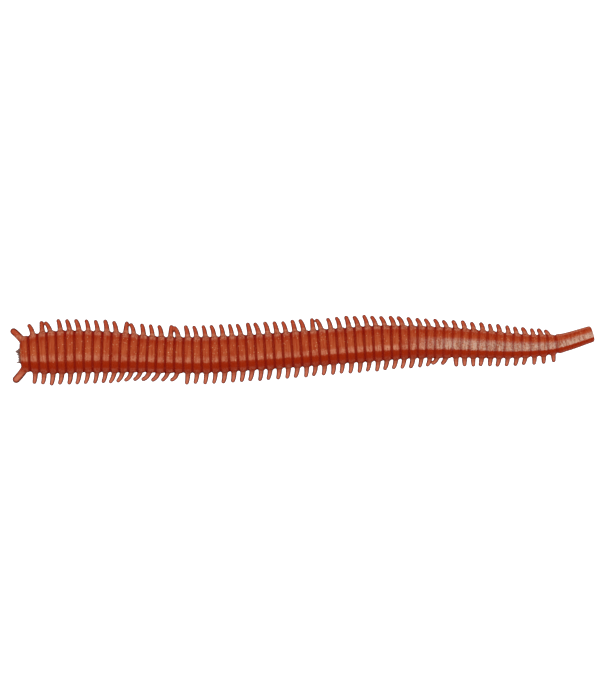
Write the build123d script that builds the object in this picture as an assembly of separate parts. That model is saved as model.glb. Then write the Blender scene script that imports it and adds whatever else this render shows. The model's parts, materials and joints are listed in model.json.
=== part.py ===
"""A soft plastic ragworm lure, 151 mm long, lying on its flat belly.

The lure is one soft moulding that bends anywhere along its length. It is divided here at every fourth groove
between its rings. Each division is a cylinder about the hinge axis there, so that the two sections turn
without overlapping. The axes are upright and crosswise by turns: the worm sways at one and lifts at the next.

+X runs from head to tail and +Z up. The belly is on z = 0, and the origin is at the bottom centre of the
bounding box. The worm's own right side is at +Y and its left side at -Y. Lengths are in millimetres.
"""

import math
import os

from build123d import *

# Lengths along the worm
HEAD_RING_LENGTH = 2.3  # the first ring, which has no legs
RING_PITCH = 2.33
TAIL_RING_PITCH = 2.24
LEG_RINGS = 59
LAST_FULL_PITCH_RING = 40
RINGS_PER_SECTION = 4
TAIL_LENGTH = 10.0

# Cross-section: an ellipse whose lowest part is cut off by the belly plane
CENTRE_SHARE = 0.46  # height of the ellipse's centre over the body's height
HALF_HEIGHT_SHARE = 0.54
GROOVE_SCALE = 0.9  # a groove's half-width over its ring's
SHOULDER_SHARE = 0.2  # length of a ring's sloping shoulder over the ring's pitch

# Divisions between the sections
KNUCKLE_SHARE = 0.74  # knuckle radius over the half-width or half-height that it turns in
KNUCKLE_GAP = 0.2
FLEX_DEG = 25.0  # each way
BEVEL_DEG = 13.2  # lean of each face beside a knuckle, a little over half the flex

# Legs: one on each side of every ring but the first
LEG_ROOT_RADIUS = 0.6
LEG_TIP_RADIUS = 0.44
LEG_ROOT_DEPTH = 0.5  # how far a leg starts inside its ring
LEG_DROOP_DEG = 7.0

# Feelers on the head ring
FEELER_RADIUS = {"right": 0.93, "left": 1.03}
FEELER_LENGTH = {"right": 3.9, "left": 4.0}  # root centre to tip centre
FEELER_SPREAD_DEG = {"right": 51.0, "left": 48.0}  # away from straight ahead
FEELER_ROOT_OFFSET = {"right": 3.0, "left": 3.4}  # root centre from the worm's middle line
FEELER_ROOT_ALONG = 0.95  # from the front of the head
FEELER_KNUCKLE_RADIUS = 1.12
FEELER_GAP = 0.12
FEELER_FLEX_DEG = 20.0  # each way

SIDES = {"right": 1, "left": -1}
CUT = 60.0  # larger than any cross-section

# The line that the worm lies along, from the front of its head to the end of its tail
LIE = [
    (0, 0), (8, 0.5), (17, 0.72), (27, 0.42), (38, -0.12), (47, -0.14), (58, 0.4), (72, 1.35),
    (88, 2.6), (101, 3.1), (113, 2.9), (125, 2.28), (132, 2.15), (137, 2.47), (141, 3.45), (148.5, 5.5),
]

# (distance from the head, half-width at a ring's crest, height)
GIRTH = [
    (0.0, 4.4, 5.4),
    (3.2, 5.1, 6.0),
    (6.0, 5.5, 6.4),
    (11.0, 5.7, 6.7),
    (17.0, 5.6, 6.7),
    (26.0, 5.3, 6.7),
    (33.0, 4.85, 6.6),
    (90.0, 4.78, 6.5),
    (103.0, 4.35, 6.0),
    (118.0, 3.8, 5.3),
    (125.0, 3.5, 4.9),
    (132.0, 3.05, 4.4),
    (138.1, 2.62, 4.0),
    (140.0, 2.4, 3.8),
    (150.0, 2.05, 3.3),
]

# (ring, lean towards the head in degrees): a leg's lean follows the straight lines between these
LEAN = {
    "right": [(1, 22), (4, 14), (30, 17), (36, 17), (41, 34), (44, 40), (48, 37), (50, 24), (56, 25), (59, 38)],
    "left": [(1, 10), (9, 15), (12, 36), (15, 43), (17, 41), (18, 12), (45, 17), (46, 39), (47, 39),
             (48, -8), (50, -2), (54, 14), (56, 14), (59, 4)],
}
LEAN_JITTER_DEG = 2.0
# A right leg that stands straight, with the next one bent over until their tips nearly touch
BENT_PAIRS = (2, 11, 16, 32)
STRAIGHT_LEAN_DEG = 0.0
BENT_LEAN_DEG = 28.0
# (ring, length of leg outside its ring)
LEG_LENGTH = [(1, 2.3), (3, 2.5), (14, 2.45), (30, 2.25), (38, 2.2), (44, 1.85), (52, 1.6), (59, 1.45)]


def between(table, at, column=1):
    """The value at a place in a table of places, on the straight line between its two neighbours."""
    if at <= table[0][0]:
        return table[0][column]
    for low, high in zip(table, table[1:]):
        if at <= high[0]:
            share = (at - low[0]) / (high[0] - low[0])
            return low[column] + share * (high[column] - low[column])
    return table[-1][column]


def ring_edge(ring):
    """Distance from the head to the groove behind a ring. Ring 0 is the head ring."""
    full = min(ring, LAST_FULL_PITCH_RING)
    return HEAD_RING_LENGTH + full * RING_PITCH + (ring - full) * TAIL_RING_PITCH


def half_width(along):
    return between(GIRTH, along, 1)


def height(along):
    return between(GIRTH, along, 2)


STATION_COUNT = (LEG_RINGS + 1) // RINGS_PER_SECTION
STATIONS = [ring_edge(RINGS_PER_SECTION * n - 1) for n in range(1, STATION_COUNT + 1)]
LINE = Spline(*[(x, y, 0) for x, y in LIE])


def place(along):
    """A plane across the worm at its section's centre: x crosswise to the right, y up, z tailwards."""
    on_line = LINE.position_at(along, position_mode=PositionMode.LENGTH)
    ahead = LINE.tangent_at(along, position_mode=PositionMode.LENGTH)
    crosswise = Vector(-ahead.Y, ahead.X, 0)
    centre = Vector(on_line.X, on_line.Y, CENTRE_SHARE * height(along))
    return Plane(origin=centre, x_dir=crosswise, z_dir=ahead)


def outline(along, scale=1.0):
    """The section's closed outline across the worm, as an ellipse."""
    half_height = HALF_HEIGHT_SHARE * height(along)
    return place(along) * Ellipse(scale * half_width(along), scale * half_height).wire()


def lofted(stops):
    """A solid through the outlines at (distance, scale), with its belly cut flat."""
    whole = Solid.make_loft([outline(along, scale) for along, scale in stops], ruled=True)
    below = Pos(0, 0, -CUT / 2) * Box(4 * LIE[-1][0], CUT, CUT)
    return whole - below


def ring_stops(first, last):
    """Outlines along rings first to last: a groove, two shoulders, and the next groove."""
    stops = [(ring_edge(first - 1), GROOVE_SCALE)]
    for ring in range(first, last + 1):
        start, end = ring_edge(ring - 1), ring_edge(ring)
        shoulder = SHOULDER_SHARE * (end - start)
        stops += [(start + shoulder, 1.0), (end - shoulder, 1.0), (end, GROOVE_SCALE)]
    return stops


def head_blank():
    """The head ring, with its blunt front, and the rings joined to it."""
    front = [(0.0, 0.72), (0.4, 0.92), (1.0, 1.0), (1.5, 0.98)]
    return lofted(front + ring_stops(1, RINGS_PER_SECTION - 1))


def section_blank(number):
    first = RINGS_PER_SECTION * number
    return lofted(ring_stops(first, first + RINGS_PER_SECTION - 1))


def tail_blank():
    """The plain stub behind the last ring, with a blunt rounded end."""
    start, end = STATIONS[-1], STATIONS[-1] + TAIL_LENGTH
    return lofted([(start, 0.9), (start + 0.7, 1.0), (end - 0.7, 1.0), (end - 0.2, 0.9), (end, 0.7)])


def sways(station):
    """True where the worm bends sideways, and False where it bends up and down. They take turns."""
    return station % 2 == 1


def hinge_plane(station):
    """A plane at a division, numbered from 1: z along the hinge axis and x tailwards."""
    across = place(STATIONS[station - 1])
    axis = across.y_dir if sways(station) else across.x_dir
    return Plane(origin=across.origin, x_dir=across.z_dir, z_dir=axis)


def knuckle_radius(station):
    along = STATIONS[station - 1]
    reach = half_width(along) if sways(station) else HALF_HEIGHT_SHARE * height(along)
    return KNUCKLE_SHARE * reach


def knuckle(station, gap=0.0):
    """The cylinder about a hinge axis that the section in front ends in and the one behind turns round."""
    return hinge_plane(station) * Cylinder(knuckle_radius(station) + gap, CUT)


def beyond(station, way):
    """All that lies past a division's bevelled faces: tailwards of it with way 1, headwards with way -1."""
    lean_back = way * CUT * math.tan(math.radians(BEVEL_DEG))
    corners = [(0, 0), (-lean_back, CUT), (way * CUT, CUT), (way * CUT, -CUT), (-lean_back, -CUT)]
    return hinge_plane(station) * extrude(make_face(Polyline(*corners, close=True)), CUT / 2, both=True)


def section(number, blanks):
    """A body cut from its blank and the next one's, with a cup in front and a knuckle behind."""
    shape = blanks[number]
    if number < STATION_COUNT:
        behind = number + 1
        shape = shape + blanks[behind] - (beyond(behind, 1) - knuckle(behind))
    if number > 0:
        shape = shape - (beyond(number, -1) + knuckle(number, KNUCKLE_GAP))
    return shape


def lean(ring, side):
    """How far a leg leans towards the head, in degrees."""
    if side == "right" and ring in BENT_PAIRS:
        return STRAIGHT_LEAN_DEG
    if side == "right" and ring - 1 in BENT_PAIRS:
        return BENT_LEAN_DEG
    jitter = LEAN_JITTER_DEG * math.sin(2.4 * ring + SIDES[side])
    return between(LEAN[side], ring) + jitter


def leg(ring, side):
    """One soft leg: a tapered peg with a round tip, rooted in the side of its ring."""
    along = (ring_edge(ring - 1) + ring_edge(ring)) / 2
    across = place(along)
    out = across.x_dir * SIDES[side]
    angle, droop = math.radians(lean(ring, side)), math.radians(LEG_DROOP_DEG)
    level = out * math.cos(angle) - across.z_dir * math.sin(angle)
    direction = level * math.cos(droop) - Vector(0, 0, math.sin(droop))
    length = LEG_ROOT_DEPTH + between(LEG_LENGTH, ring) - LEG_TIP_RADIUS
    root = across.origin + out * (half_width(along) - LEG_ROOT_DEPTH)
    base = Plane(origin=root, z_dir=direction)
    peg = base * Pos(0, 0, length / 2) * Cone(LEG_ROOT_RADIUS, LEG_TIP_RADIUS, length)
    tip = base * Pos(0, 0, length) * Sphere(LEG_TIP_RADIUS)
    return peg + tip


def legs(number, side):
    """The legs on one side of a body. Where the worm lifts, the knuckle carries those of the next ring too."""
    first = RINGS_PER_SECTION * number
    last = first + RINGS_PER_SECTION - 1
    if number == 0 or not sways(number):
        first += 1
    if not sways(number + 1) and last < LEG_RINGS:
        last += 1
    return [leg(ring, side) for ring in range(first, last + 1)]


def feeler_root(side):
    """A plane at a feeler's root, with z up and x towards the feeler's tip."""
    across = place(FEELER_ROOT_ALONG)
    centre = across.origin + across.x_dir * (SIDES[side] * FEELER_ROOT_OFFSET[side])
    spread = math.radians(FEELER_SPREAD_DEG[side])
    ahead = across.z_dir * -math.cos(spread) + across.x_dir * (SIDES[side] * math.sin(spread))
    return Plane(origin=centre, x_dir=ahead, z_dir=(0, 0, 1))


def finger(side, gap=0.0, turn_deg=0.0):
    """The round-ended finger of a feeler, turned about its root."""
    length, radius = FEELER_LENGTH[side], FEELER_RADIUS[side] + gap
    shaft = Rot(0, 90, 0) * Pos(0, 0, length / 2) * Cylinder(radius, length)
    return feeler_root(side) * Rot(0, 0, turn_deg) * (shaft + Pos(length, 0, 0) * Sphere(radius))


def feeler(side, blank):
    """A feeler, with the upright knuckle that it swings on in the head ring."""
    return (blank & feeler_root(side) * Cylinder(FEELER_KNUCKLE_RADIUS, CUT)) + finger(side)


def with_sockets(head):
    """The head with a round socket, and room to swing, for each feeler."""
    limit = FEELER_FLEX_DEG + 1
    for side in SIDES:
        head = head - feeler_root(side) * Cylinder(FEELER_KNUCKLE_RADIUS + FEELER_GAP, CUT)
        for turn in (-limit, -limit / 2, 0, limit / 2, limit):
            head = head - finger(side, FEELER_GAP, turn)
    return head


def nose_flash():
    """The ragged scrap of plastic on the nose, where the mould's halves met."""
    web = Pos(-0.4, 0.3, -0.2) * Box(4.2, 0.5, 0.4)
    wide_tooth = Cone(0.55, 0.2, 0.9, align=(Align.CENTER, Align.CENTER, Align.MIN))
    thin_tooth = Pos(-2.1, 0.3, -0.6) * Sphere(0.35)
    return place(0.0) * (web + Pos(0.8, 0.3, -0.4) * Rot(180, 0, 0) * wide_tooth + thin_tooth)


def body_name(number):
    """The body between divisions number and number + 1."""
    if number == 0:
        return "head"
    return "tail" if number == STATION_COUNT else f"section_{number:02d}"


def nodes():
    """Every node by name, before the model is moved to its origin."""
    blanks = [head_blank()]
    blanks += [section_blank(n) for n in range(1, STATION_COUNT)]
    blanks.append(tail_blank())
    made = {body_name(n): section(n, blanks) for n in range(STATION_COUNT + 1)}
    made["head"] = with_sockets(made["head"])
    made["nose_flash"] = nose_flash()
    for side in SIDES:
        made[f"{side}_feeler"] = feeler(side, blanks[0])
        for n in range(STATION_COUNT):
            made[f"{body_name(n)}_{side}_legs"] = Compound(legs(n, side))
    return made


def to_origin(made):
    """The move that puts the bottom centre of the whole model's box at the origin."""
    box = Compound([solid for shape in made.values() for solid in shape.solids()]).bounding_box()
    return Location((-(box.min.X + box.max.X) / 2, -(box.min.Y + box.max.Y) / 2, -box.min.Z))


def main():
    os.makedirs("parts", exist_ok=True)
    made = nodes()
    move = to_origin(made)
    for name, shape in made.items():
        solids = [move * solid for solid in shape.solids()]
        export_step(solids[0] if len(solids) == 1 else Compound(solids), f"parts/{name}.step")


if __name__ == "__main__":
    main()
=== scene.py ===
"""Looks of the soft plastic worm: one continuous ringed skin, divided where the frame's bodies are stiff."""

import json
import math
import random

import bmesh
import bpy
import numpy as np
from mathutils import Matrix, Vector


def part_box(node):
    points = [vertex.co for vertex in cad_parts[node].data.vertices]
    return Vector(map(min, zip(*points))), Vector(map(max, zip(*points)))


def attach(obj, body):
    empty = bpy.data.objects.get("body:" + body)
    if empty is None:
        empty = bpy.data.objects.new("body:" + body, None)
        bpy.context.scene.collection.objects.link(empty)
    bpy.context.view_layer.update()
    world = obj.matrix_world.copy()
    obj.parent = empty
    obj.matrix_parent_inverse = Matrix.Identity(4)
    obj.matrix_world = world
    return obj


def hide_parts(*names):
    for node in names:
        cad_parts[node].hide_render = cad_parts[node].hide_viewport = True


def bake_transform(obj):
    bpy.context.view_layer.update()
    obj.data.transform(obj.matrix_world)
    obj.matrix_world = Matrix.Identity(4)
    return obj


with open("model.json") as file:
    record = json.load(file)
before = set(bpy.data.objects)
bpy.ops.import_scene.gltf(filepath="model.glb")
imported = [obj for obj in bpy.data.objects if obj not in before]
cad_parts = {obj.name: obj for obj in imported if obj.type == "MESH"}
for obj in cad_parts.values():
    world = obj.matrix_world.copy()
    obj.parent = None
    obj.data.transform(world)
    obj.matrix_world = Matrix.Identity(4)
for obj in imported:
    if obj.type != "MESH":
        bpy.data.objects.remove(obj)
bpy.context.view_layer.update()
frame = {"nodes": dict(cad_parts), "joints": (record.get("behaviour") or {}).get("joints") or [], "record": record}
random.seed(11)

# Millimetres from here on, until the pieces are made
HEAD_RING = 2.3
PITCH = 2.33
TAIL_PITCH = 2.24
LEG_RINGS = 59
LAST_FULL_PITCH_RING = 40
RINGS_PER_SECTION = 4
TAIL_LENGTH = 10.0
CENTRE_SHARE = 0.46  # where the middle of a ring's section lies, as a share of its height
HALF_HEIGHT_SHARE = 0.54
GROOVE_DEPTH = 0.52
SIDE_GROOVE_DEPTH = 0.38
BELLY_GROOVE_DEPTH = 0.22
STEP = 0.1  # between two loops of the torso
VOXEL = 0.13
BEND_REACH = 4.0  # a distance each way from a hinge
NOSE_ASIDE = 0.4  # how far the nose's middle line runs from the middle of its scrap
NOSE_BULGE = 0.25  # how far the nose stands out in front of the middle line's start
NOSE_ROUND = 1.3  # how far back the nose takes to reach its full section
STUB_ROUND = 0.9
LEG_RADII = np.array([1.0, 0.71, 0.55])  # at its root, a third along, and at its tip
LEG_SINK = 0.7  # how far inside its ring a leg starts
FEELER_RADIUS = {"right": 0.93, "left": 1.03}
FEELER_CUT = 1.45  # from a feeler's root to where its own piece starts
TIP_ZONE = 0.35  # points this close to a feeler's farthest point make up its tip

# (distance from the head, half-width, height)
GIRTH = np.array([
    (0.0, 4.4, 5.4), (3.2, 5.1, 6.0), (6.0, 5.5, 6.4), (11.0, 5.7, 6.7), (17.0, 5.6, 6.7), (26.0, 5.3, 6.7),
    (33.0, 4.85, 6.6), (90.0, 4.78, 6.5), (103.0, 4.35, 6.0), (118.0, 3.8, 5.3), (125.0, 3.5, 4.9),
    (132.0, 3.05, 4.4), (138.1, 2.62, 4.0), (140.0, 2.4, 3.8), (150.0, 2.05, 3.3),
])

# (distance from the head, how much longer the right legs are there than in the CAD)
RIGHT_LEG_EXTRA = np.array([(40.0, 0.0), (55.0, 0.3), (100.0, 0.3), (115.0, 0.0)])

# The scrap's teeth: (place across the web, height, half-width), as shares of the web's width and reach
SCRAP_TEETH = [
    (0.1, 0.9, 0.07), (0.26, 0.62, 0.06), (0.42, 0.7, 0.07),
    (0.6, 0.85, 0.1), (0.77, 1.1, 0.14), (0.93, 0.7, 0.07),
]

# Floor, light and camera, in metres and watts
FLOOR_DROP = 0.06  # the floor stays clear of the worm when a hinge bends its rear down
FLOOR_HALF = 2.0
CAMERA_HEIGHT = 1.0
SCALE_HEIGHT = 0.003  # where the picture's scale holds: about halfway up the worm
PIXEL = 0.1501 / 583  # how much of the worm one pixel of the picture shows
PICTURE_WIDTH = 600
SENSOR_WIDTH = 36  # millimetres
LIGHT_PLACE = (0, 0.23, 0.95)
LIGHT_SIZE = (2.0, 1.94)
LIGHT_POWER = 14.0

# Colours of the skin, linear
RED = (0.32, 0.011, 0.0, 1)
WARM_RED = (0.37, 0.021, 0.0, 1)
# painted highlight: a hazy reflection of the light above, over the ring crests of the back
BACK_HIGHLIGHT = (0.45, 0.072, 0.02, 1)
# painted highlight: bright reflection patches along a strip of the back
RIDGE_HIGHLIGHT = (0.66, 0.27, 0.165, 1)
# painted highlight: glints on the crests near the edges of the back
RIM_HIGHLIGHT = (0.62, 0.24, 0.14, 1)
# painted highlight along the back of the tail: its darker and its paler streaks
TAIL_HIGHLIGHT_DARK = (0.29, 0.085, 0.042, 1)
TAIL_HIGHLIGHT_PALE = (0.62, 0.44, 0.345, 1)
# painted shade: the deep red in the ring grooves
GROOVE_SHADE = (0.25, 0.003, 0.0, 1)
LEG_RED = (0.43, 0.05, 0.02, 1)
# painted highlight: a light patch where each leg leaves the body
ROOT_HIGHLIGHT = (0.5, 0.19, 0.11, 1)
# painted highlight: light on the upward faces of the legs on one side
LIT_LEG = (0.6, 0.18, 0.105, 1)
GRAIN = (0.55, 0.16, 0.07, 1)
# painted shade: dark where the body and legs turn sideways, away from the light above
SIDE_SHADE = (0.12, 0.012, 0.004, 1)
# painted highlight: small bright glints
GLINT = (0.8, 0.42, 0.22, 1)


def ring_edge(ring):
    """Distance from the head to the groove in front of a leg ring, where the first leg ring is 0."""
    full = min(ring, LAST_FULL_PITCH_RING)
    return HEAD_RING + full * PITCH + (ring - full) * TAIL_PITCH


EDGES = np.array([ring_edge(ring) for ring in range(LEG_RINGS + 1)])
LENGTH = EDGES[-1] + TAIL_LENGTH
BENDS = [j for j in frame["joints"] if j["name"][:4] in ("sway", "lift")]
BENDS.sort(key=lambda j: j["name"][-2:])
STATIONS = [ring_edge(RINGS_PER_SECTION * (n + 1) - 1) for n in range(len(BENDS))]


def mesh_points(node):
    """A CAD node's vertices, in millimetres."""
    return np.array([v.co for v in frame["nodes"][node].data.vertices]) * 1000


# ---------------------------------------------------------------- the line that the worm lies along

def line_knots():
    """(distance, x, y) at the nose, at each hinge, and at the end of the tail."""
    nose = (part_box("nose_flash")[0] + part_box("nose_flash")[1]) * 500
    knots = [(0.0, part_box("head")[0].x * 1000, nose.y + NOSE_ASIDE)]
    knots += [(s, j["pos_m"][0] * 1000, j["pos_m"][1] * 1000) for s, j in zip(STATIONS, BENDS)]
    tail = mesh_points("tail")[:, :2]
    last = np.array(knots[-1][1:])
    reach = np.linalg.norm(tail - last, axis=1)
    end = tail[reach > reach.max() - 0.8].mean(0)
    end = last + (end - last) * TAIL_LENGTH / np.linalg.norm(end - last)
    knots.append((LENGTH, end[0], end[1]))
    return np.array(knots)


KNOTS = line_knots()


def line(s):
    """Points and unit tangents of the middle line at distances s."""
    s = np.asarray(s, float)
    k = np.clip(np.searchsorted(KNOTS[:, 0], s) - 1, 0, len(KNOTS) - 2)
    slope = np.gradient(KNOTS[:, 1:], KNOTS[:, 0], axis=0)
    h = (KNOTS[k + 1, 0] - KNOTS[k, 0])[..., None]
    u = (s - KNOTS[k, 0])[..., None] / h
    p0, p1, m0, m1 = KNOTS[k, 1:], KNOTS[k + 1, 1:], slope[k] * h, slope[k + 1] * h
    point = (
        (2 * u**3 - 3 * u**2 + 1) * p0 + (u**3 - 2 * u**2 + u) * m0
        + (3 * u**2 - 2 * u**3) * p1 + (u**3 - u**2) * m1
    )
    ahead = (
        (6 * u**2 - 6 * u) * p0 + (3 * u**2 - 4 * u + 1) * m0
        + (6 * u - 6 * u**2) * p1 + (3 * u**2 - 2 * u) * m1
    )
    return point, ahead / np.linalg.norm(ahead, axis=-1, keepdims=True)


def along_and_aside(points):
    """Each point's distance along the worm, and how far to the right of the middle line it lies."""
    s = np.interp(points[:, 0], KNOTS[:, 1], KNOTS[:, 0])
    for _ in range(3):
        at, ahead = line(s)
        s = s + ((points[:, :2] - at) * ahead).sum(1)
    at, ahead = line(s)
    offset = points[:, :2] - at
    return s, offset[:, 1] * ahead[:, 0] - offset[:, 0] * ahead[:, 1]


def half_width(s):
    """The body's half-width at distances s."""
    return np.interp(s, GIRTH[:, 0], GIRTH[:, 1])


def height(s):
    """The body's height at distances s."""
    return np.interp(s, GIRTH[:, 0], GIRTH[:, 2])


def groove(s):
    """0 on a ring's crest and 1 in the bottom of the groove between two rings."""
    s = np.asarray(s, float)
    k = np.clip(np.searchsorted(EDGES, s) - 1, 0, LEG_RINGS - 1)
    u = (s - EDGES[k]) / (EDGES[k + 1] - EDGES[k])
    ringed = 1 - np.abs(np.sin(np.pi * np.clip(u, 0, 1))) ** 0.5
    before = np.clip(1 - (EDGES[0] - s) / 0.75, 0, 1) ** 1.6
    behind = np.clip(1 - (s - EDGES[-1]) / 0.7, 0, 1) ** 1.6
    return np.where(s < EDGES[0], before, np.where(s > EDGES[-1], behind, ringed))


# ---------------------------------------------------------------- shapes, before they are made one

def tube(sections):
    """A closed mesh through loops of points that all have the same number of points."""
    count = len(sections[0])
    points = [p for loop in sections for p in loop]
    faces = []
    for i in range(len(sections) - 1):
        a, b = i * count, (i + 1) * count
        faces += [(a + k, a + (k + 1) % count, b + (k + 1) % count, b + k) for k in range(count)]
    first, last = len(points), len(points) + 1
    points += [np.mean(sections[0], axis=0), np.mean(sections[-1], axis=0)]
    top = (len(sections) - 1) * count
    faces += [(first, (k + 1) % count, k) for k in range(count)]
    faces += [(last, top + k, top + (k + 1) % count) for k in range(count)]
    return points, faces


def torso():
    """The ringed body with its blunt nose and its plain tail stub."""
    s = np.arange(-NOSE_BULGE, LENGTH + 0.01, STEP)
    s[-1] = LENGTH
    nose = (1 - (1 - np.clip((s + NOSE_BULGE) / NOSE_ROUND, 0, 1)) ** 2.5) ** (1 / 2.5)
    stub = (1 - (1 - np.clip((LENGTH - s) / STUB_ROUND, 0, 1)) ** 3.2) ** (1 / 3.2)
    fullness = np.maximum(nose * stub, 0.02)
    wobble = random.Random(5)
    ring_size = np.array([1 + wobble.uniform(-0.012, 0.012) for _ in EDGES] + [1.0])
    size = ring_size[np.searchsorted(EDGES, s)]
    depth = groove(s)
    angle = np.linspace(0, 2 * math.pi, 96, endpoint=False)
    at, ahead = line(s)
    loops = []
    for k, here in enumerate(s):
        a = (half_width(here) * size[k] - SIDE_GROOVE_DEPTH * depth[k]) * fullness[k]
        b = (HALF_HEIGHT_SHARE * height(here) - GROOVE_DEPTH * depth[k]) * fullness[k]
        floor = BELLY_GROOVE_DEPTH * depth[k] + 0.5 * (1 - fullness[k])
        aside = a * np.cos(angle)
        up = CENTRE_SHARE * height(here) + b * np.sin(angle)
        up = floor + 0.5 * ((up - floor) + np.sqrt((up - floor) ** 2 + 0.12))
        x = at[k, 0] - ahead[k, 1] * aside
        y = at[k, 1] + ahead[k, 0] * aside
        loops.append(np.column_stack([x, y, up]))
    return tube(loops)


def finger(root, bend, tip, radii):
    """A bent, tapering finger with a round tip. Radii are at its root, a third along, and at its tip."""
    root, bend, tip = (np.array(p, float) for p in (root, bend, tip))
    t = np.linspace(0, 1, 12)
    path = np.outer((1 - t) ** 2, root) + np.outer(2 * t * (1 - t), bend) + np.outer(t**2, tip)
    heading = np.gradient(path, axis=0)
    heading /= np.linalg.norm(heading, axis=1, keepdims=True)
    radius = np.interp(t, [0, 0.3, 1], radii)
    for turn in (20, 40, 60, 75, 86):
        ahead = radii[2] * math.sin(math.radians(turn))
        path = np.vstack([path, path[11] + heading[11] * ahead])
        heading = np.vstack([heading, heading[11]])
        radius = np.append(radius, radii[2] * math.cos(math.radians(turn)))
    loops = []
    for p, h, r in zip(path, heading, radius):
        side = np.cross(h, (0, 0, 1))
        side /= np.linalg.norm(side)
        up = np.cross(side, h)
        around = np.linspace(0, 2 * math.pi, 18, endpoint=False)
        loops.append(p + r * (np.outer(np.cos(around), side) + np.outer(np.sin(around), up)))
    return tube(loops)


def solids_of(node):
    """Points of each separate solid in a CAD node."""
    bm = bmesh.new()
    bm.from_mesh(frame["nodes"][node].data)
    bmesh.ops.remove_doubles(bm, verts=bm.verts, dist=2e-6)
    left, found = set(bm.verts), []
    while left:
        stack, solid = [left.pop()], []
        while stack:
            v = stack.pop()
            solid.append(v)
            for e in v.link_edges:
                other = e.other_vert(v)
                if other in left:
                    left.discard(other)
                    stack.append(other)
        found.append(np.array([v.co for v in solid]) * 1000)
    bm.free()
    return found


def leg_shapes():
    """Each CAD leg again as a soft finger that leaves its ring square and curls forward to the same tip."""
    made = []
    for node in sorted(n for n in frame["nodes"] if n.endswith("_legs")):
        for points in solids_of(node):
            aside = np.abs(along_and_aside(points)[1])
            root = points[aside < aside.min() + 0.5].mean(0)
            tip = points[aside > aside.max() - 0.25].mean(0)
            made.append((root, tip))
    made.sort(key=lambda pair: pair[0][0])
    shapes = []
    for root, tip in made:
        (s,), (aside,) = along_and_aside(root[None])
        at, ahead = line(s)
        out = np.array([-ahead[1], ahead[0], 0]) * np.sign(aside)
        shift = [random.uniform(-0.14, 0.14), random.uniform(-0.1, 0.1), random.uniform(-0.25, 0.3)]
        tip = tip + np.array(shift)
        if aside > 0:
            tip = tip + out * np.interp(s, RIGHT_LEG_EXTRA[:, 0], RIGHT_LEG_EXTRA[:, 1])
        start = root - out * LEG_SINK
        length = np.linalg.norm(tip - start)
        bend = start + out * length * random.uniform(0.52, 0.66) + (tip - start) * 0.06
        thick = random.uniform(0.93, 1.07)
        shapes.append(finger(start, bend, tip, LEG_RADII * thick))
    return shapes


def feeler_ends(side):
    """A CAD feeler's root, its tip, and how far it reaches from the root."""
    joint = next(j for j in frame["joints"] if j["name"] == f"{side}_feeler_bend")
    root = np.array(joint["pos_m"]) * 1000
    points = mesh_points(f"{side}_feeler")
    away = np.linalg.norm(points[:, :2] - root[:2], axis=1)
    return root, points[away > away.max() - TIP_ZONE].mean(0), away.max()


def feeler_shape(side):
    """A CAD feeler again as a soft finger with an even thickness."""
    root, tip, _ = feeler_ends(side)
    heading = (tip - root) / np.linalg.norm(tip - root)
    radius = FEELER_RADIUS[side]
    tip = tip - heading * (radius - 0.15)
    tip[2] = root[2] + 0.1
    outward = np.array([0, 1.0 if side == "right" else -1.0, 0])
    bend = (root + tip) / 2 + outward * 0.35
    return finger(root - heading * 0.4, bend, tip, (radius * 1.15, radius, radius * 0.98))


def joined(shapes):
    """One mesh from several (points, faces)."""
    points, faces = [], []
    for shape_points, shape_faces in shapes:
        base = len(points)
        points += [tuple(p) for p in shape_points]
        faces += [tuple(base + i for i in face) for face in shape_faces]
    mesh = bpy.data.meshes.new("whole")
    mesh.from_pydata(points, [], faces)
    return mesh


def whole_skin():
    """Body, legs and feelers melted into one closed surface with soft inner corners."""
    mesh = joined([torso()] + leg_shapes() + [feeler_shape("right"), feeler_shape("left")])
    rough = bpy.data.objects.new("whole", mesh)
    bpy.context.scene.collection.objects.link(rough)
    remesh = rough.modifiers.new("one", "REMESH")
    remesh.mode = "VOXEL"
    remesh.voxel_size = VOXEL
    remesh.adaptivity = 0
    soften = rough.modifiers.new("soft", "SMOOTH")
    soften.factor = 0.5
    soften.iterations = 4
    melted = bpy.data.meshes.new_from_object(rough.evaluated_get(bpy.context.evaluated_depsgraph_get()))
    bpy.data.objects.remove(rough)
    return melted


# ---------------------------------------------------------------- the skin's own measures, for its materials

def describe(points, normals):
    """What a material needs at each point.

    form is (how deep in a groove, how far out on a leg, how much it faces up). skin is millimetres along
    the surface. lie is (distance from the head, share of the half-width aside, height).
    """
    s, aside = along_and_aside(points)
    width = half_width(np.clip(s, 0, LENGTH))
    out = np.abs(aside) - width
    body = np.clip(1 - (out + 0.15) / 0.5, 0, 1)
    depth = groove(np.clip(s, 0, LENGTH)) * body
    around = np.arctan2(points[:, 2] - CENTRE_SHARE * height(s), aside)
    return {
        "form": np.column_stack([depth, np.clip(out / 2.6, 0, 1), normals[:, 2]]),
        "skin": np.column_stack([s, around * 3.6, np.hypot(aside, points[:, 2] - 3)]),
        "lie": np.column_stack([s, aside / width, points[:, 2]]),
    }


def set_attributes(mesh, points, normals):
    """Stores each measure on the mesh, for its material to read."""
    for name, values in describe(points, normals).items():
        attribute = mesh.attributes.new(name, "FLOAT_VECTOR", "POINT")
        attribute.data.foreach_set("vector", values.astype(np.float32).ravel())


# ---------------------------------------------------------------- dividing the skin into pieces

def positions(mesh):
    """A mesh's vertices as an array."""
    points = np.zeros(len(mesh.vertices) * 3, np.float32)
    mesh.vertices.foreach_get("co", points)
    return points.reshape(-1, 3).astype(float)


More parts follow.
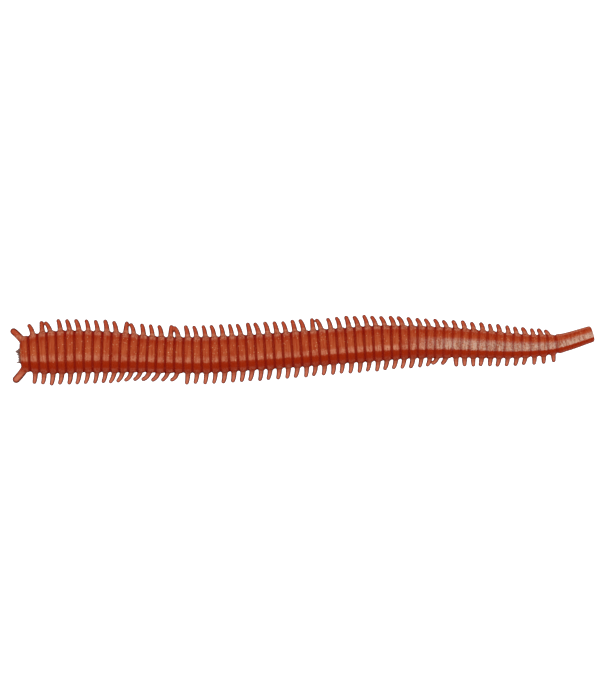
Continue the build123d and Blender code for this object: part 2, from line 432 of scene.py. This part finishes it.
def cut_piece(name, mesh, keep, cuts):
    """The chosen faces of a mesh, cut flat and closed by each cut: (point, direction to drop, reach)."""
    bm = bmesh.new()
    bm.from_mesh(mesh)
    bmesh.ops.delete(bm, geom=[f for f, kept in zip(bm.faces, keep) if not kept], context="FACES")
    for point, drop, reach in cuts:
        near = [v for v in bm.verts if (v.co.xy - point.xy).length < reach]
        edges = {e for v in near for e in v.link_edges}
        faces = {f for v in near for f in v.link_faces}
        bmesh.ops.bisect_plane(bm, geom=near + list(edges) + list(faces), plane_co=point, plane_no=drop,
                               clear_outer=True, dist=1e-5)
        rim = [
            e for e in bm.edges
            if e.is_boundary and all(abs((v.co - point).dot(drop)) < 1e-3 for v in e.verts)
        ]
        bmesh.ops.holes_fill(bm, edges=rim)
    bmesh.ops.triangulate(bm, faces=[f for f in bm.faces if len(f.verts) > 4])
    bmesh.ops.scale(bm, vec=(0.001, 0.001, 0.001), verts=bm.verts)
    made = bpy.data.meshes.new(name)
    bm.to_mesh(made)
    bm.free()
    return made


def main_skin():
    """The whole skin with its own normals and measures stored on it, and its vertices."""
    whole = whole_skin()
    points = positions(whole)
    normals = np.zeros(len(points) * 3, np.float32)
    whole.vertices.foreach_get("normal", normals)
    layer = whole.attributes.new("true_normal", "FLOAT_VECTOR", "POINT")
    layer.data.foreach_set("vector", normals)
    set_attributes(whole, points, normals.reshape(-1, 3))
    return whole, points


def face_means(mesh, values):
    """The mean of a value over each face's corners."""
    loops = np.zeros(len(mesh.loops), np.int64)
    mesh.loops.foreach_get("vertex_index", loops)
    starts = np.zeros(len(mesh.polygons), np.int64)
    mesh.polygons.foreach_get("loop_start", starts)
    totals = np.add.reduceat(values[loops], starts)
    counts = np.add.reduceat(np.ones(len(loops)), starts)
    return totals / counts


def finish_piece(mesh, material):
    """Smooth shading with the whole skin's own normals, so that no line shows between two pieces."""
    mesh.materials.append(material)
    mesh.polygons.foreach_set("use_smooth", np.ones(len(mesh.polygons), bool))
    stored = np.zeros(len(mesh.vertices) * 3, np.float32)
    mesh.attributes["true_normal"].data.foreach_get("vector", stored)
    stored = stored.reshape(-1, 3)
    stored /= np.maximum(np.linalg.norm(stored, axis=1, keepdims=True), 1e-9)
    mesh.normals_split_custom_set_from_vertices([tuple(n) for n in stored])
    mesh.attributes.remove(mesh.attributes["true_normal"])
    piece = bpy.data.objects.new(mesh.name, mesh)
    bpy.context.scene.collection.objects.link(piece)
    return piece


def border(number):
    """Where the skin is divided inside a section: at its middle groove."""
    s = (STATIONS[number - 1] + STATIONS[number]) / 2
    at, ahead = line(s)
    return s, Vector((at[0], at[1], 0)), Vector((ahead[0], ahead[1], 0))


def members(body):
    """The CAD nodes that make up a body."""
    return frame["record"]["behaviour"]["bodies"][body]


def feeler_line(side):
    """A feeler's root, its level heading, and how far its tip reaches from the root."""
    root, tip, reach = feeler_ends(side)
    heading = Vector(tip) - Vector(root)
    heading.z = 0
    return Vector(root), heading.normalized(), reach


def flash_shape():
    """The ragged scrap on the nose: a thin torn web with a broad tooth, a small one and frayed bits."""
    low, high = (np.array(corner) * 1000 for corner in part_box("nose_flash"))
    width, reach = high[1] - low[1], high[0] - low[0]
    ragged = random.Random(3)
    loops = []
    for c in np.linspace(0, 1, 56):
        teeth = [tall * (1 - (abs(c - at) / (1.3 * half)) ** 2) for at, tall, half in SCRAP_TEETH]
        tall = max(0.55, *teeth) + ragged.uniform(-0.08, 0.08)
        thick = 0.22 + 0.14 * ragged.random()
        middle = (low[2] + high[2]) / 2 + 0.05 * math.sin(9 * c)
        end = math.sin(math.pi / 2 * min(1, max(0.02, 12 * min(c, 1 - c))))
        back = high[0] + 0.45
        front = high[0] + 0.15 - (reach * tall + 0.1) * max(end, 0.3)
        profile = [(back, thick), (front + 0.3, thick * 0.9), (front, 0.05), (front, -0.05),
                   (front + 0.3, -thick * 0.9), (back, -thick)]
        loops.append(np.array([(x, low[1] + width * c, middle + dz) for x, dz in profile]))
    return tube(loops)


# ---------------------------------------------------------------- materials

class Nodes:
    """A short way to add and link shader nodes."""

    def __init__(self, name):
        self.material = bpy.data.materials.new(name)
        self.material.use_nodes = True
        self.tree = self.material.node_tree
        self.shader = self.tree.nodes["Principled BSDF"]

    def add(self, kind, inputs=None, **settings):
        node = self.tree.nodes.new(kind)
        for key, value in settings.items():
            setattr(node, key, value)
        for key, value in (inputs or {}).items():
            self.put(node.inputs[key], value)
        return node

    def put(self, socket, value):
        if isinstance(value, bpy.types.NodeSocket):
            self.tree.links.new(value, socket)
        else:
            socket.default_value = value

    def maths(self, operation, a, b=0.0):
        return self.add("ShaderNodeMath", {0: a, 1: b}, operation=operation).outputs[0]

    def fade(self, value, low, high, out_low=0.0, out_high=1.0):
        inputs = {"Value": value, "From Min": low, "From Max": high, "To Min": out_low, "To Max": out_high}
        return self.add("ShaderNodeMapRange", inputs, interpolation_type="SMOOTHSTEP").outputs["Result"]

    def blend(self, share, a, b):
        node = self.add("ShaderNodeMix", data_type="RGBA")
        self.put(node.inputs[0], share)
        self.put(node.inputs[6], a)
        self.put(node.inputs[7], b)
        return node.outputs[2]

    def stretched(self, vector, scale):
        return self.add("ShaderNodeMapping", {"Vector": vector, "Scale": scale}).outputs["Vector"]

    def noise(self, vector, scale, detail=2.0, roughness=0.5):
        inputs = {"Vector": vector, "Scale": scale, "Detail": detail, "Roughness": roughness}
        return self.add("ShaderNodeTexNoise", inputs).outputs["Fac"]


def plastisol(name):
    """Glossy, slightly oily red-brown soft PVC: deep red painted shade in its grooves and dark painted shade on
    its sides, with painted highlights and glints along its back and on its legs, and a pale painted highlight
    along the tail's back.
    """
    n = Nodes(name)
    form = n.add("ShaderNodeAttribute", attribute_name="form").outputs["Vector"]
    skin = n.add("ShaderNodeAttribute", attribute_name="skin").outputs["Vector"]
    lie = n.add("ShaderNodeAttribute", attribute_name="lie").outputs["Vector"]
    deep, leg, facing = n.add("ShaderNodeSeparateXYZ", {0: form}).outputs
    along, aside, _ = n.add("ShaderNodeSeparateXYZ", {0: lie}).outputs
    cloud = n.noise(skin, 0.3, 3.0)
    streak = n.noise(n.stretched(skin, (2.2, 0.25, 0.3)), 1.0, 3.0, 0.6)
    blotch = n.noise(skin, 1.9, 2.0, 0.6)
    flake = n.noise(n.stretched(skin, (1.0, 0.55, 0.5)), 3.4, 5.0, 0.75)
    scuff = n.maths("ADD", n.maths("MULTIPLY", flake, 0.6), n.maths("MULTIPLY", streak, 0.4))
    grain = n.noise(skin, 6.0, 2.0)
    speck = n.add("ShaderNodeTexVoronoi", {"Vector": skin, "Scale": 1.2}).outputs["Distance"]
    glint = n.add("ShaderNodeTexVoronoi", {"Vector": skin, "Scale": 1.5}).outputs["Distance"]

    crest = n.fade(deep, 0.5, 0.12)
    backward = n.fade(along, 96, 113)
    wavering = n.maths("ADD", aside, n.maths("MULTIPLY", n.maths("SUBTRACT", blotch, 0.5), 0.22))
    back = n.maths("MULTIPLY", n.fade(wavering, -0.47, -0.37), n.fade(wavering, 0.75, 0.1, 0.55, 1.0))
    ridge = n.maths("MULTIPLY", n.fade(wavering, -0.46, -0.34), n.fade(wavering, -0.02, -0.25))
    spine = n.maths("MULTIPLY", n.fade(wavering, -0.48, -0.3), n.fade(wavering, 0.42, 0.05))

    colour = n.blend(cloud, RED, WARM_RED)
    # painted highlight: the light's hazy reflection over the ring crests of the back, broken up by streaks
    back_highlight = n.maths("MULTIPLY", n.maths("MULTIPLY", back, crest), n.fade(streak, 0.36, 0.62, 0.2, 1.0))
    colour = n.blend(back_highlight, colour, BACK_HIGHLIGHT)
    # painted highlight: bright reflection patches on the crests along one strip of the back, fainter towards the
    # head
    ridge_highlight = n.maths("MULTIPLY", n.maths("MULTIPLY", ridge, crest), n.fade(scuff, 0.36, 0.62))
    ridge_highlight = n.maths("MULTIPLY", ridge_highlight, n.fade(along, 70, 95, 0.55, 0.95))
    colour = n.blend(ridge_highlight, colour, RIDGE_HIGHLIGHT)
    # painted highlight: glints on the crests near both edges of the back, stronger on one side
    rim = n.maths("MULTIPLY", n.fade(n.maths("ABSOLUTE", aside), 0.7, 0.86), crest)
    rim = n.maths("MULTIPLY", rim, n.fade(n.maths("ADD", flake, blotch), 0.85, 1.15, 0.1, 1.0))
    rim = n.maths("MULTIPLY", rim, n.fade(aside, -0.5, 0.5, 0.25, 0.7))
    colour = n.blend(rim, colour, RIM_HIGHLIGHT)
    # painted highlight: a mottled pale band of reflection along the middle of the tail's back, weaker in the
    # grooves
    tail_highlight = n.maths("MULTIPLY", n.maths("MULTIPLY", spine, backward), n.fade(blotch, 0.25, 0.6, 0.35, 1.0))
    tail_highlight = n.maths("MULTIPLY", tail_highlight, n.fade(deep, 0.95, 0.5, 0.5, 1.0))
    pale = n.blend(n.fade(scuff, 0.4, 0.57), TAIL_HIGHLIGHT_DARK, TAIL_HIGHLIGHT_PALE)
    colour = n.blend(n.maths("MULTIPLY", tail_highlight, 0.88), colour, pale)
    # painted shade in the ring grooves, weaker along the tail
    shown = n.maths("SUBTRACT", 1.0, n.maths("MULTIPLY", backward, 0.6))
    groove_shade = n.maths("MULTIPLY", n.fade(deep, 0.2, 0.55), shown)
    colour = n.blend(groove_shade, colour, GROOVE_SHADE)

    # painted highlight at the leg roots
    root_highlight = n.maths("MULTIPLY", n.fade(leg, -0.01, 0.1), n.fade(leg, 0.3, 0.12))
    colour = n.blend(n.fade(leg, 0.0, 0.3, 0.0, 0.95), colour, LEG_RED)
    colour = n.blend(n.maths("MULTIPLY", root_highlight, 0.35), colour, ROOT_HIGHLIGHT)
    # painted highlight on the legs of one side, where they face up
    lit = n.maths("MULTIPLY", n.fade(leg, 0.1, 0.4), n.fade(aside, -1.0, -1.2))
    lit = n.maths("MULTIPLY", lit, n.fade(facing, 0.7, 0.98, 0.0, 0.7))
    colour = n.blend(lit, colour, LIT_LEG)
    colour = n.blend(n.fade(grain, 0.58, 0.8, 0.0, 0.25), colour, GRAIN)

    # painted shade on the sides of the legs and body, where they face sideways
    leg_edge = n.maths("MULTIPLY", n.fade(leg, 0.0, 0.2), n.fade(facing, 0.95, 0.5))
    edge = n.maths("MAXIMUM", n.fade(facing, 0.5, 0.1), leg_edge)
    colour = n.blend(n.maths("MULTIPLY", edge, 0.92), colour, SIDE_SHADE)
    # painted glints: small bright specks, only within the painted back highlight
    speck_glint = n.maths("MULTIPLY", n.fade(speck, 0.13, 0.06), n.fade(back_highlight, 0.0, 0.3, 0.1, 0.9))
    colour = n.blend(speck_glint, colour, GLINT)
    where = n.maths("MULTIPLY", n.fade(cloud, 0.42, 0.58), back_highlight)
    sparkle = n.maths("MULTIPLY", n.fade(glint, 0.27, 0.1), where)
    colour = n.blend(sparkle, colour, GLINT)
    n.put(n.shader.inputs["Base Color"], colour)
    n.put(n.shader.inputs["Roughness"], n.fade(streak, 0.3, 0.75, 0.22, 0.36))
    n.shader.inputs["Specular IOR Level"].default_value = 0.4
    n.shader.inputs["Specular Tint"].default_value = (1.0, 0.5, 0.22, 1)

    fine = n.add("ShaderNodeBump", {"Height": grain, "Strength": 0.4, "Distance": 0.00003})
    wide = n.add("ShaderNodeBump", {"Height": blotch, "Strength": 0.5, "Distance": 0.0001})
    n.put(wide.inputs["Normal"], fine.outputs[0])
    n.put(n.shader.inputs["Normal"], wide.outputs[0])
    return n.material


def dull_flash(name):
    """Thin torn plastic, greyer than the body."""
    n = Nodes(name)
    place = n.add("ShaderNodeTexCoord").outputs["Object"]
    mottle = n.noise(place, 2600.0, 3.0)
    colour = n.blend(n.fade(mottle, 0.35, 0.65), (0.17, 0.07, 0.055, 1), (0.34, 0.19, 0.155, 1))
    n.put(n.shader.inputs["Base Color"], colour)
    n.put(n.shader.inputs["Roughness"], n.fade(mottle, 0.3, 0.7, 0.4, 0.7))
    bump = n.add("ShaderNodeBump", {"Height": mottle, "Strength": 0.6, "Distance": 0.00008})
    n.put(n.shader.inputs["Normal"], bump.outputs[0])
    return n.material


# ---------------------------------------------------------------- build

skin_material = plastisol("plastisol")
whole, points = main_skin()
face_s = face_means(whole, along_and_aside(points)[0])
face_centre = np.column_stack([face_means(whole, points[:, k]) for k in range(3)])
feeler_faces, feeler_cuts = {}, {}
for side in ("right", "left"):
    root, heading, reach = feeler_line(side)
    cut = root + heading * FEELER_CUT
    ahead = (face_centre - np.array(cut)) @ np.array(heading)
    sideways = np.abs((face_centre - np.array(cut)) @ np.array((-heading.y, heading.x, 0)))
    feeler_faces[side] = (ahead > -0.5) & (sideways < 2.0)
    feeler_cuts[side] = (cut, heading, ahead)

    mesh = cut_piece(f"feeler_{side}", whole, feeler_faces[side], [(cut, -heading, 9.0)])
    piece = finish_piece(mesh, skin_material)
    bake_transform(piece)
    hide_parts(f"{side}_feeler")

for number in range(1, len(BENDS) + 1):
    keep = np.ones(len(whole.polygons), bool)
    cuts = []
    if number > 1:
        s, point, ahead = border(number - 1)
        keep &= face_s > s - 3.0
        cuts.append((point, -ahead, 30.0))
    else:
        for cut, heading, beyond in feeler_cuts.values():
            cuts.append((cut, heading, 2.2))
        for side, faces in feeler_faces.items():
            keep &= ~(faces & (feeler_cuts[side][2] > 0.4))
    if number < len(BENDS):
        s, point, ahead = border(number)
        keep &= face_s < s + 3.0
        cuts.append((point, ahead, 30.0))
    piece = finish_piece(cut_piece(f"skin_{number:02d}", whole, keep, cuts), skin_material)
    joint = BENDS[number - 1]
    ahead = line(STATIONS[number - 1])[1]
    reach = Vector((ahead[0], ahead[1], 0)) * BEND_REACH * 0.001
    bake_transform(piece)
    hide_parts(*members(joint["child"]))
    if number == 1:
        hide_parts("head", "head_left_legs", "head_right_legs")

flash_mesh = joined([flash_shape()])
flash_mesh.name = "nose_scrap"
flash_mesh.transform(((0.001, 0, 0, 0), (0, 0.001, 0, 0), (0, 0, 0.001, 0), (0, 0, 0, 1)))
flash_mesh.polygons.foreach_set("use_smooth", np.ones(len(flash_mesh.polygons), bool))
flash = bpy.data.objects.new("nose_scrap", flash_mesh)
bpy.context.scene.collection.objects.link(flash)
flash_mesh.materials.append(dull_flash("dull_flash"))
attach(flash, "head")
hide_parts("nose_flash")

# ---------------------------------------------------------------- stage, light and camera

floor_mesh = bpy.data.meshes.new("floor")
corners = [(x * FLOOR_HALF, y * FLOOR_HALF, 0) for x, y in ((-1, -1), (1, -1), (1, 1), (-1, 1))]
floor_mesh.from_pydata(corners, [], [(0, 1, 2, 3)])
floor = bpy.data.objects.new("floor", floor_mesh)
floor.location.z = -FLOOR_DROP
bpy.context.scene.collection.objects.link(floor)
paper = Nodes("paper")
paper.shader.inputs["Base Color"].default_value = (0.92, 0.92, 0.92, 1)
paper.shader.inputs["Roughness"].default_value = 0.9
paper.shader.inputs["Specular IOR Level"].default_value = 0.0
paper.shader.inputs["Emission Color"].default_value = (1, 1, 1, 1)
paper.shader.inputs["Emission Strength"].default_value = 0.6
floor_mesh.materials.append(paper.material)
floor.visible_glossy = False

light = bpy.data.lights.new("softbox_over", "AREA")
light.shape = "RECTANGLE"
light.size, light.size_y = LIGHT_SIZE
light.energy = LIGHT_POWER
lamp = bpy.data.objects.new("softbox_over", light)
lamp.location = LIGHT_PLACE
bpy.context.scene.collection.objects.link(lamp)
lamp.visible_camera = False

world = bpy.data.worlds.new("room")
world.use_nodes = True
world.node_tree.nodes["Background"].inputs["Color"].default_value = (1, 1, 1, 1)
world.node_tree.nodes["Background"].inputs["Strength"].default_value = 0.4
world.cycles_visibility.glossy = False
bpy.context.scene.world = world

camera_data = bpy.data.cameras.new("camera")
camera = bpy.data.objects.new("camera", camera_data)
bpy.context.scene.collection.objects.link(camera)
camera_data.sensor_fit = "HORIZONTAL"
camera_data.sensor_width = SENSOR_WIDTH
camera_data.lens = SENSOR_WIDTH * (CAMERA_HEIGHT - SCALE_HEIGHT) / (PICTURE_WIDTH * PIXEL)
camera.location = (-2.5 * PIXEL, 3.1 * PIXEL, CAMERA_HEIGHT)
bpy.context.scene.camera = camera
bpy.context.scene.view_settings.view_transform = "Standard"
